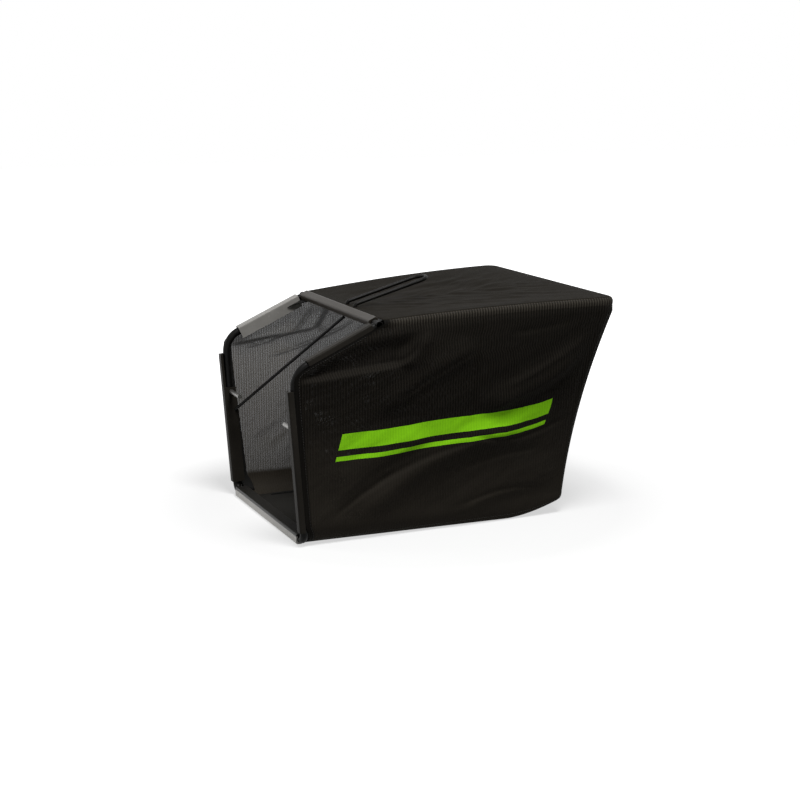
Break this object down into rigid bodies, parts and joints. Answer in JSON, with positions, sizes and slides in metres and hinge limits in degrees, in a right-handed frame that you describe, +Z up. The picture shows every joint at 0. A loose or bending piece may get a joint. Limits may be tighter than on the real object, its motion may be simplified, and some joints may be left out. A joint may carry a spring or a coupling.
{
  "type": "grass catcher",
  "caption": "Grass catcher for a walk-behind mower: a sewn mesh bag on a bent tube mouth frame with clip channels, a top loop and a wire carrying handle.",
  "frame": {"origin": "on the floor, under the middle of the bottom tube of the mouth, on the flat underside of the bottom channel", "axes": "+Z up, +Y from the mouth back along the bag, +X to the bag's right when looking into the mouth; the picture's near side is +X"},
  "size_m": [0.4322, 0.5422, 0.3858],
  "materials": {
    "black_steel": "black powder coat, semi-gloss",
    "bright_steel": "zinc plated, worn",
    "grey_plastic": "extruded, satin",
    "side_mesh": "open woven mesh with upright ribs",
    "top_cloth": "close woven cloth",
    "floor_cloth": "coated cloth",
    "black_tape": "sewn webbing tape"
  },
  "bodies": {
    "root": {"front_hoop": "black_steel", "cross_tube": "black_steel", "top_loop": "black_steel", "handle_rod": "black_steel", "brace_rod": "black_steel", "hang_peg_left": "bright_steel", "hang_peg_right": "bright_steel", "bottom_channel": "grey_plastic", "top_channel": "grey_plastic", "upright_channel_left": "grey_plastic", "upright_channel_right": "grey_plastic", "slope_channel_left": "grey_plastic", "slope_channel_right": "grey_plastic", "side_panel_left": "side_mesh", "side_panel_right": "side_mesh", "rear_panel": "side_mesh", "top_panel": "top_cloth", "bottom_panel": "floor_cloth", "mouth_hem_left": "black_tape", "mouth_hem_right": "black_tape", "floor_binding_left": "black_tape", "floor_binding_right": "black_tape", "rear_binding_left": "black_tape", "rear_binding_right": "black_tape", "loop_sleeve_left": "black_tape", "loop_sleeve_right": "black_tape", "loop_sleeve_rear": "black_tape", "corner_patch_left": "black_tape", "corner_patch_right": "black_tape"}
  },
  "joints": []
}
